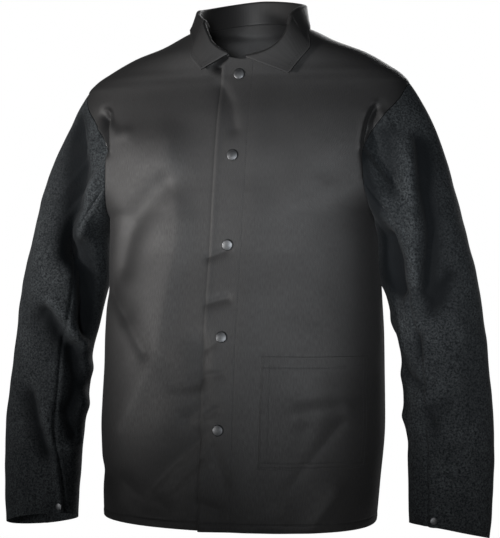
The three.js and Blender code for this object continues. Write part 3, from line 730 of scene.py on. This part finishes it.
def frontPaintedShading(side, s, level):
    # painted shade in the front's creases and painted highlight on its ridges
    angle, z = frontPlace(side, s, level)
    x = bodyForm(angle, z)[:, 0]
    paintedShading = creaseHeight(frontCreases, x, z) / fullShadeDepth
    if side < 0:  # painted shade in the dent under the collar and a painted shadow along the edge of the lap
        paintedShading = paintedShading + creaseHeight(underCreases, x, z) / fullShadeDepth
        paintedShading = paintedShading - dip(x - body["closing"](z) + cut["lap"] + front["shadeAway"], front["shadeWidth"])
    return np.clip(paintedShading, *paintedShadingRange)


def frontDetail(side, s, level):
    up = level - cut["hem"]
    height = -front["seamDepth"] * dip(up - front["hemSeam"], front["seamWidth"])
    height += front["hemPuff"] * dip(up - front["hemSeam"] / 2, front["hemSeam"] / 2.5)
    if side > 0:
        height -= front["placketDepth"] * dip(s - front["placketSeam"], front["seamWidth"])
        inset = s + cut["lap"]
        height += front["edgeRoll"] * dip(inset - front["rollAway"], front["rollWidth"])
        height -= front["edgeDrop"] * (1 - smoothStep(inset, 0, front["dropAway"]))
    return height


def frontSkin(side, s, level, off=0.0):
    angle, z = frontPlace(side, s, level)
    point = bodySkin(angle, z)
    normal = normalsOf(bodySkin, angle, z, angleStep, levelStep)
    reach = np.maximum(0, side * (point[:, 0] - body["closing"](z)))
    raised = (cut["cottonWall"] + cut["lapGap"]) if side > 0 else 0
    lift = raised * (1 - smoothStep(reach, cut["lap"], cut["lapFade"]))
    if side < 0:
        lift = lift + creaseHeight(underCreases, point[:, 0], z)
    lift = lift + off + frontDetail(side, s, level)
    lift = lift + front["waveHeight"] * ripple(point, front["waveSize"], front["seed"])
    return point + normal * lift[:, None], normal


frontEnd = cut["lap"] + front["reach"]
hemBands = [cut["hem"] + up for up in (0, 4, 10, 15.5)]  # closer rows round the hem's edge and its seam
lapBands = [-cut["lap"], 9 - cut["lap"], *(front["placketSeam"] + away for away in (-3, 3, 15))]
panelRows = stations(
    (hemBands[0], hemBands[1], 1), (hemBands[1], hemBands[2], 2), (hemBands[2], hemBands[3], 0.9),
    (hemBands[3], cut["shoulderTip"], 3.2), (cut["shoulderTip"], 0, 3.2),
)
frontColumns = stations(
    (lapBands[0], lapBands[1], 0.75), (lapBands[1], lapBands[2], 3), (lapBands[2], lapBands[3], 0.9),
    (lapBands[3], lapBands[4], 1.5), (lapBands[4], frontEnd, 3.1),
)
addCloth(
    "frontLeft", "front_left", frontColumns, panelRows,
    lambda s, level: frontSkin(1, s, level), cut["cottonWall"], cotton,
    paintedShading=lambda s, level: frontPaintedShading(1, s, level),
)
addCloth(
    "frontRight", "front_right", frontColumns, panelRows,
    lambda s, level: frontSkin(-1, s, level), cut["cottonWall"], cotton,
    paintedShading=lambda s, level: frontPaintedShading(-1, s, level),
)

# Back panel
back = {"half": 270, "columnStep": 4}


def backSkin(s, level):
    share = s / back["half"]
    edge = edgeAngle(np.minimum(level, cut["shoulderTip"]), "back")
    angle, z = settle(level, lambda z: math.pi - share * edge)
    normal = normalsOf(bodySkin, angle, z, angleStep, levelStep)
    return bodySkin(angle, z) + normal * frontDetail(-1, s, level)[:, None], normal


backColumns = stations((-back["half"], back["half"], back["columnStep"]))
addCloth(
    "backPanel", "back_panel", backColumns, panelRows, backSkin, cut["cottonWall"], cotton,
)

# Pocket
pocket = {
    "top": -516, "bottom": -683, "inner": 0.1, "outer": 0.66, "puff": 1.2, "sideCurve": 0.5, "riseCurve": 1.3,
    "riseShare": 0.8, "rows": (2.2, 8.8), "hem": 16, "seamDepth": 0.3, "seamWidth": 1.4,
    "step": 2.2, "seamStep": 0.9, "closeBottom": 13, "closeTop": 20,
}
pocketLeft = cut["lap"] + pocket["inner"] * front["reach"]
pocketRight = cut["lap"] + pocket["outer"] * front["reach"]


def pocketSkin(s, level):
    across = np.sin(math.pi * np.clip((s - pocketLeft) / (pocketRight - pocketLeft), 0, 1))
    up = np.clip((level - pocket["bottom"]) / (pocket["top"] - pocket["bottom"]), 0, 1)
    rise = np.sin(math.pi * up ** pocket["riseCurve"] * pocket["riseShare"])
    puff = pocket["puff"] * across ** pocket["sideCurve"] * rise
    for row in pocket["rows"]:
        puff = puff - pocket["seamDepth"] * dip(level - pocket["bottom"] - row, pocket["seamWidth"])
    puff = puff - pocket["seamDepth"] * dip(pocket["top"] - level - pocket["hem"], pocket["seamWidth"])
    return frontSkin(1, s, level, cut["gap"] + cut["pocketWall"] + puff)


pocketLow, pocketHigh = pocket["bottom"] + pocket["closeBottom"], pocket["top"] - pocket["closeTop"]
pocketRows = stations(
    (pocket["bottom"], pocketLow, pocket["seamStep"]), (pocketLow, pocketHigh, pocket["step"]),
    (pocketHigh, pocket["top"], pocket["seamStep"]),
)
addCloth(
    "pocketPatch", "pocket", stations((pocketLeft, pocketRight, pocket["step"])), pocketRows, pocketSkin,
    cut["pocketWall"], cotton, paintedShading=lambda s, level: frontPaintedShading(1, s, level),
)

# Sleeves
sleeveSize = {
    "z": [-340, -395, -430, -470, -528, -605, -641, -703, -736, -790],
    "axis": [292, 300, 307, 315, 324.5, 330, 333, 334.5, 334.5, 333],
    "depth": [12, 13, 13, 13, 10, 2, -3, -9, -12, -16],
    "halfWidth": [67, 73, 72, 69.5, 66.5, 68, 67, 65, 63.5, 61],
    "halfDepth": [67, 63, 58, 54, 51, 49, 47, 43, 41, 39],
}
sleeve = {
    "seamFront": 118, "seamBack": 255, "capEnd": -340, "capPitchTop": 54, "capPitchBottom": 68,
    "tiltSide": 9, "tiltLeft": 8, "tiltRight": 14, "tiltFrom": -620, "lift": 7,
    "twistLeft": -2, "twistRight": 22,
    "cuff": -790, "radius": 66, "squareness": 2.2, "seamHold": 60, "armholeGap": 0.95, "seamGap": 0.01,
    "seamTuck": 1.4, "tuckWidth": 2.4, "seamPuff": 0.9, "puffAway": 7, "puffWidth": 4,
    "ventTop": -672, "ventLift": 1.8, "ventWidth": 16, "ventFade": 24, "ventFlat": 0.4,
    "waveHeight": 1.1, "waveSize": 34, "seed": 7.7,
    "rowStep": 2.7, "turnStep": 2.4, "seamStep": 1, "seamBand": 5,  # the last three in degrees
}
sleeveCreases = {  # (degrees round, z) points, width on the left and right going along, height, power
    -1: [
        ([(40, -146), (50, -167), (71, -217), (87, -258), (103, -290), (109, -320), (114, -356)],
         8, 20, -23, 1.5),
        ([(57, -170), (101, -275), (122, -326)], 12, 12, 5, 2),
        ([(118, -356), (130, -390), (142, -436), (152, -476)], 22, 15, -24, 1.8),  # under the arm
        ([(84, -452), (91, -456), (103, -474), (118, -496), (136, -512)], 9, 20, -15, 1.5),  # elbow
        ([(92, -440), (117, -470), (131, -496)], 14, 10, 6, 2),
        ([(139, -492), (155, -510)], 10, 10, 5, 2),
        ([(140, -534), (146, -566), (145, -600)], 18, 15, -9, 1.8),
        ([(78, -590), (97, -646), (103, -683)], 9, 18, -11, 1.5),  # lower arm
        ([(104, -610), (112, -663)], 9, 9, 5, 2),
        ([(134, -612), (149, -655)], 16, 12, -7, 1.8),
        ([(139, -675), (169, -665)], 10, 10, 3, 2),
        ([(74, -672), (73, -719)], 5, 5, -1.5, 1.6),
        ([(40, -420), (70, -470)], 16, 16, -3, 2),
        ([(20, -300), (40, -380)], 20, 26, -3, 2),
        ([(165, -545), (190, -549)], 14, 14, 4, 2),
        ([(165, -575), (190, -580)], 11, 11, -3, 2),
        ([(165, -606), (190, -610)], 14, 14, 3, 2),
    ],
    1: [
        ([(64, -175), (70, -207), (78, -236), (92, -269)], 11, 11, -8, 1.7),
        ([(56, -190), (66, -230), (77, -266), (90, -310), (100, -348), (101, -408)], 9, 9, 6, 2),
        ([(45, -195), (54, -235), (62, -266), (68, -300), (75, -340), (84, -378), (94, -416)],
         10, 25, -14, 1.7),
        ([(55, -394), (72, -418), (91, -446)], 10, 14, -8, 1.7),
        ([(136, -335), (127, -375), (130, -415)], 15, 13, -22, 1.8),  # under the arm
        ([(172, -320), (174, -400)], 20, 16, 5, 2),
        ([(116, -488), (121, -516)], 9, 7, -8, 1.5),  # elbow
        ([(152, -541), (140, -552), (124, -560)], 8, 10, -8, 1.4),
        ([(114, -598), (106, -622)], 8, 8, -8, 1.4),
        ([(102, -594), (86, -586)], 8, 9, -5, 1.6),
        ([(49, -602), (67, -684)], 7, 7, 2, 2),
        ([(140, -470), (155, -500)], 14, 14, 3, 2),
        ([(40, -470), (60, -560)], 20, 30, -3, 2),
        ([(168, -466), (190, -470)], 14, 14, 4, 2),
        ([(168, -496), (190, -500)], 10, 10, -4, 2),
        ([(160, -546), (190, -550)], 14, 14, 3, 2),
        ([(165, -612), (190, -616)], 12, 12, 4, 2),
        ([(165, -650), (190, -656)], 16, 16, -3, 2),
    ],
}
sleeveShade = {  # painted shade where the sleeves lie in shadow, laid out as creases with no form, in the same columns
    -1: [([(150, -520), (156, -600), (156, -660)], 26, 22, -4, 2)],
    1: [
        ([(80, -160), (98, -215), (114, -258), (124, -285)], 24, 12, -13, 1.8),
        ([(140, -300), (150, -400)], 24, 16, -9, 2),
    ],
}
sleeveCurves = tableCurves(sleeveSize, "z")


def armholePoint(side, turn):
    around = np.mod(turn, 360)
    z = cut["shoulderTip"] + (cut["armpit"] - cut["shoulderTip"]) * (1 - np.cos(np.radians(around))) / 2
    ahead = around <= 180
    angle = np.where(ahead, angleAt(armhole["front"](z), z), math.pi - angleAt(armhole["back"](z), z))
    return bodySkin(side * angle, z)


def ringPoint(side, turn, z):
    end = smoothStep(-z, -sleeve["tiltFrom"], -sleeve["cuff"])
    name = "Left" if side > 0 else "Right"
    angle = np.radians(turn + end * sleeve["twist" + name])
    out, ahead = np.cos(angle), np.sin(angle)
    power = sleeve["squareness"]
    stretch = (np.abs(out) ** power + np.abs(ahead) ** power) ** (-1 / power)
    tilt = end * (sleeve["tilt" + name] * ahead - sleeve["tiltSide"] * out + side * sleeve["lift"])
    x = sleeveCurves["axis"](z) + sleeveCurves["halfWidth"](z) * stretch * out
    y = sleeveCurves["depth"](z) - sleeveCurves["halfDepth"](z) * stretch * ahead
    return np.stack([side * x, y, z + tilt], axis=1)


def sleeveForm(side, turn, z):
    tip, capEnd = cut["shoulderTip"], sleeve["capEnd"]
    down = (1 - np.cos(np.radians(turn))) / 2
    pitch = np.radians(sleeve["capPitchTop"] + (sleeve["capPitchBottom"] - sleeve["capPitchTop"]) * down)
    leaving = np.stack([side * np.cos(pitch), 0 * pitch, -np.sin(pitch)], axis=1)
    start = armholePoint(side, turn) + leaving * sleeve["armholeGap"]
    end = ringPoint(side, turn, capEnd + 0 * turn)
    arriving = unit(ringPoint(side, turn, capEnd - levelStep + 0 * turn) - end)
    length = np.linalg.norm(end - start, axis=1, keepdims=True)
    share = np.clip((tip - z) / (tip - capEnd), 0, 1)[:, None]
    cap = hermite(start, leaving * length, end, arriving * length, share)
    return np.where((z <= capEnd)[:, None], ringPoint(side, turn, z), cap)


perDegree = math.radians(1) * sleeve["radius"]


def sleeveHeight(creases, turn, level):
    # degrees round the sleeve become a distance along its cloth
    flat = [([(degrees * perDegree, at) for degrees, at in points], *rest) for points, *rest in creases]
    return creaseHeight(flat, turn * perDegree, level)


def sleevePaintedShading(side, turn, z):
    # painted shade in the creases and the shadowed hollows, painted highlight on the ridges
    level = sleeveForm(side, turn, z)[:, 2]
    height = sleeveHeight(sleeveCreases[side] + sleeveShade[side], turn, level)
    return np.clip(height / fullShadeDepth, *paintedShadingRange)


def sleeveSkin(side, turn, z):
    point = sleeveForm(side, turn, z)
    height = sleeveHeight(sleeveCreases[side], turn, point[:, 2])
    for seam in (sleeve["seamFront"], sleeve["seamBack"], sleeve["seamBack"] - 360):
        away = np.abs(turn - seam) * perDegree
        height -= sleeve["seamTuck"] * dip(away, sleeve["tuckWidth"])
        height += sleeve["seamPuff"] * dip(away - sleeve["puffAway"], sleeve["puffWidth"])
    lapped = np.clip((sleeve["seamFront"] - turn) * perDegree / sleeve["ventWidth"], 0, 1)
    vent = smoothStep(sleeve["ventTop"] - z, 0, sleeve["ventFade"]) * (turn < sleeve["seamFront"])
    vent = vent * (1 - smoothStep(lapped, sleeve["ventFlat"], 1))
    height += (sleeve["ventLift"] + sleeve["seamTuck"]) * vent
    height = height * smoothStep(cut["shoulderTip"] - z, 0, sleeve["seamHold"])  # its armhole end stays put
    angle = np.radians(turn)
    outward = np.stack([side * np.cos(angle), -np.sin(angle), 0 * angle], axis=1)
    return point + outward * height[:, None]


def sleeveWall(side, turn, z):
    tip = cut["shoulderTip"]
    across = sleeveSkin(side, turn + 1, z) - sleeveSkin(side, turn - 1, z)
    up = sleeveSkin(side, turn, np.minimum(z + levelStep, tip)) - sleeveSkin(side, turn, z - levelStep)
    point, normal = sleeveSkin(side, turn, z), unit(np.cross(up, across)) * side
    wave = sleeve["waveHeight"] * ripple(point, sleeve["waveSize"], sleeve["seed"])
    wave = wave * smoothStep(tip - z, 0, sleeve["seamHold"])
    return point + normal * wave[:, None], normal


def sleeveColumns(low, high):
    band = sleeve["seamBand"]
    return stations(
        (low, low + band, sleeve["seamStep"]), (low + band, high - band, sleeve["turnStep"]),
        (high - band, high, sleeve["seamStep"]),
    )


sides = ((1, "Left"), (-1, "Right"))
seamTurn = math.degrees(sleeve["seamGap"] / sleeve["radius"]) / 2
sleeveRows = stations((sleeve["cuff"], cut["shoulderTip"], sleeve["rowStep"]))
upperColumns = sleeveColumns(sleeve["seamBack"] - 360 + seamTurn, sleeve["seamFront"] - seamTurn)
underColumns = sleeveColumns(sleeve["seamFront"] + seamTurn, sleeve["seamBack"] - seamTurn)
for side, name in sides:
    for panel, columns in (("Upper", upperColumns), ("Under", underColumns)):
        addCloth(
            "sleeve" + panel + name, "sleeve_" + panel.lower() + "_" + name.lower(), columns, sleeveRows,
            lambda turn, z: sleeveWall(side, turn, z), cut["suedeWall"], suede,
            paintedShading=lambda turn, z: sleevePaintedShading(side, turn, z),
        )

# Collar
collarSize = {  # columns ending in L are for the jacket's left side, in R for its right
    "angle": [180, 135, 92, 70, 45, 27, 13, 4],
    "rollOut": [3, 4, 5, 5, 4, 2, 1, 0],
    "lift": [5, 5, 3, 3, 4, 5, 6, 7],
    "standL": [38, 37, 33, 25, 13, 13, 7, 5],
    "edgeL": [180, 136, 74, 47, 35, 27, 22, 19],
    "levelL": [5, 1, -7, -24, -44, -60, -74, -85],
    "standR": [38, 37, 33, 21, 9, 9, 9, 6],
    "edgeR": [180, 130, 58, 40, 26, 21, 16.4, 13],
    "levelR": [5, 0, -9, -20, -38, -53, -64, -74],
}
collar = {
    "first": 4, "rollRadius": 3.2, "standEnd": 0.3, "rollEnd": 0.55, "gap": 0.3, "step": 0.02,
    # the collar's painted shade, its painted edge highlight, and that highlight's widths at the edge and the
    # ends
    "paintedShading": -0.3, "edgeHighlight": 0.9, "edgeHighlightWidth": 0.05, "endHighlightWidth": 1.0, "rows": (3.2, 7.6), "rowStart": 0.08,
    "leafEnd": 60, "leafStep": 1.4, "turnStep": 2.4, "standStep": 0.03, "fallStep": 0.02,
    "edgeFrom": 0.94, "edgeStep": 0.01, "rowSamples": 400, "endSamples": 60,
}
collarCurves = tableCurves(collarSize, "angle")


def collarColumn(name, angle):
    turn = np.degrees(np.abs(angle))
    return np.where(angle > 0, collarCurves[name + "L"](turn), collarCurves[name + "R"](turn))


def collarMiddle(angle, across):
    turn = np.degrees(np.abs(angle))
    out = np.stack([np.sin(angle), -np.cos(angle), 0 * angle], axis=1)
    upward = np.array([[0, 0, 1.0]])
    seam = bodySkin(angle, neckHeight(angle)) + upward * collar["gap"]
    radius = collar["rollRadius"]
    foot = seam + out * collarCurves["rollOut"](turn)[:, None]
    foot = foot + upward * (collarColumn("stand", angle) - radius)[:, None]
    climb = np.clip(across / collar["standEnd"], 0, 1)[:, None]
    stand = seam * (1 - climb) + foot * climb
    bent = np.clip((across - collar["standEnd"]) / (collar["rollEnd"] - collar["standEnd"]), 0, 1)
    over = math.pi * (1 - bent)
    roll = foot + out * radius * (1 + np.cos(over))[:, None] + upward * radius * np.sin(over)[:, None]
    edgeTurn = np.sign(angle) * np.radians(collarColumn("edge", angle))
    level = collarColumn("level", angle)
    away = normalsOf(bodyForm, edgeTurn, level, angleStep, levelStep)
    edge = bodyForm(edgeTurn, level) + away * (collarCurves["lift"](turn) + cut["collarWall"] / 2)[:, None]
    fall = np.clip((across - collar["rollEnd"]) / (1 - collar["rollEnd"]), 0, 1)[:, None]
    turned = roll * (1 - fall) + edge * fall
    return np.where((across <= collar["standEnd"])[:, None], stand, turned)


def collarSkin(turn, across):
    angle = np.radians(np.where(turn > 180, turn - 360, turn))
    step = collar["step"]
    low = collarMiddle(angle, np.maximum(0, across - step))
    high = collarMiddle(angle, np.minimum(1, across + step))
    around = collarMiddle(angle + step, across) - collarMiddle(angle - step, across)
    return collarMiddle(angle, across), unit(np.cross(high - low, around))


def collarPaintedShading(turn, across):
    # painted highlight along the outer edge and the front ends, painted shade over the rest of the collar
    fall = np.maximum(1 - across, 0) / (1 - collar["rollEnd"])
    end = np.minimum(turn, 360 - turn) - collar["first"]
    ends = dip(end, collar["endHighlightWidth"]) * (across > collar["rollEnd"])
    edge = np.maximum(dip(fall, collar["edgeHighlightWidth"]), ends)
    return collar["paintedShading"] + (collar["edgeHighlight"] - collar["paintedShading"]) * edge


collarColumns = stations(
    (collar["first"], collar["leafEnd"], collar["leafStep"]),
    (collar["leafEnd"], 360 - collar["leafEnd"], collar["turnStep"]),
    (360 - collar["leafEnd"], 360 - collar["first"], collar["leafStep"]),
)
collarBands = stations(
    (0, collar["standEnd"], collar["standStep"]), (collar["standEnd"], collar["rollEnd"], collar["fallStep"]),
    (collar["rollEnd"], collar["edgeFrom"], collar["fallStep"]), (collar["edgeFrom"], 1, collar["edgeStep"]),
)
addCloth(
    "collarCloth", "collar", collarColumns, collarBands, collarSkin, cut["collarWall"], cotton,
    offset=0, paintedShading=collarPaintedShading,
)
print("cloth pieces done")

# Stitching
hemRow = cut["hem"] + front["hemSeam"]


def fallLength(turn):
    start = collarSkin(turn, np.full(turn.shape, collar["rollEnd"]))[0]
    return np.linalg.norm(collarSkin(turn, np.ones(turn.shape))[0] - start, axis=1)


def collarRows(inset):
    # one row round the outer edge of the leaf and one down each front edge, all the same way in
    fall = 1 - collar["rollEnd"]
    first, count = collar["first"], collar["endSamples"]
    turn = np.linspace(first, 360 - first, collar["rowSamples"])
    across = 1 - fall * inset / fallLength(turn)
    down = np.linspace(collar["rollEnd"] + collar["rowStart"], across[0], count)
    start = collarSkin(np.full(count, first), down)[0]
    pace = np.linalg.norm(collarSkin(np.full(count, first + 1), down)[0] - start, axis=1)
    edge = first + inset / pace
    inside = (turn > edge[-1]) & (turn < 360 - edge[-1])
    return [
        (collarTop, turn[inside], across[inside]), (collarTop, edge, down), (collarTop, 360 - edge, down),
    ]


def collarTop(turn, across):
    point, normal = collarSkin(turn, across)
    return point + normal * cut["collarWall"] / 2, normal


rowEnd = stitch["edge"]  # rows stop this far from an edge
frontHem = rowAlong(rowEnd - cut["lap"], frontEnd - rowEnd, hemRow)
backHem = rowAlong(rowEnd - back["half"], back["half"] - rowEnd, hemRow)
pocketSewing = []
for inset in pocket["rows"]:
    left, right, low = pocketLeft + inset, pocketRight - inset, pocket["bottom"] + inset
    pocketSewing += [rowUp(at, low, pocket["top"] - rowEnd) for at in (left, right)]
    pocketSewing.append(rowAlong(left, right, low))
pocketSewing.append(rowAlong(pocketLeft + rowEnd, pocketRight - rowEnd, pocket["top"] - pocket["hem"]))
stitches = {
    "frontLeft": addStitches("frontLeftStitches", [
        (lambda s, level: frontSkin(1, s, level), *rowUp(front["placketSeam"], hemRow, front["placketTop"])),
        (lambda s, level: frontSkin(1, s, level), *frontHem),
    ]),
    "frontRight": addStitches("frontRightStitches", [(lambda s, level: frontSkin(-1, s, level), *frontHem)]),
    "backPanel": addStitches("backStitches", [(backSkin, *backHem)]),
    "pocketPatch": addStitches("pocketStitches", [(pocketSkin, *row) for row in pocketSewing]),
    "collarCloth": addStitches("collarStitches", sum(map(collarRows, collar["rows"]), [])),
}
print("stitching done")

# Snaps
snap = {
    "levels": [-82, -210.5, -348.5, -488, -627], "radius": 8.75, "cuffRadius": 5.8, "cuffRise": 11,
    "cuffTurn": 8.4, "seat": 0.3, "steps": 48, "merge": 0.001, "samples": 1600,
    "profile": [  # share of the radius, height for a cap of the front's size
        (0.0, 0.0), (0.95, 0.0), (1.0, 0.45), (0.99, 0.95), (0.94, 1.4), (0.86, 1.72), (0.78, 1.86),
        (0.74, 1.86), (0.7, 1.92), (0.55, 2.14), (0.35, 2.31), (0.15, 2.39), (0.0, 2.4),
    ],
}


def makeSnap(name, node, radius, point, normal):
    seat = Vector(point + normal * snap["seat"])
    bm = bmesh.new()
    scale = radius / snap["radius"]
    verts = [bm.verts.new((share * radius, 0, height * scale)) for share, height in snap["profile"]]
    edges = [bm.edges.new(pair) for pair in zip(verts[:-1], verts[1:])]
    bmesh.ops.spin(
        bm, geom=verts + edges, cent=(0, 0, 0), axis=(0, 0, 1), angle=2 * math.pi,
        steps=snap["steps"], use_merge=True,
    )
    bmesh.ops.remove_doubles(bm, verts=bm.verts, dist=snap["merge"])
    bmesh.ops.recalc_face_normals(bm, faces=bm.faces)
    turn = Vector(normal).to_track_quat("Z", "Y").to_matrix().to_4x4()
    bmesh.ops.transform(bm, matrix=Matrix.Translation(seat) @ turn, verts=bm.verts)
    bmesh.ops.scale(bm, vec=(mm, mm, mm), verts=bm.verts)
    piece = addPiece(bm, name, gunmetal)
    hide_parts(node)


def rowLevel(z):
    # the row of the panels that lies at this height on the snap line
    rows = np.linspace(cut["hem"], 0, snap["samples"])
    return np.interp(z, frontPlace(1, 0 * rows, rows)[1], rows)


for i, level in enumerate(snap["levels"]):
    point, normal = frontSkin(1, np.array([0.0]), np.array([rowLevel(level)]))
    makeSnap("frontSnap%d" % (i + 1), "front_snap_%d" % (i + 1), snap["radius"], point[0], normal[0])
for side, name in sides:
    turn = np.array([sleeve["seamFront"] - snap["cuffTurn"]])
    z = np.array([sleeve["cuff"] + snap["cuffRise"]])
    point, normal = sleeveWall(side, turn, z)
    makeSnap("cuffSnap" + name, "cuff_snap_" + name.lower(), snap["cuffRadius"], point[0], normal[0])
print("snaps done")
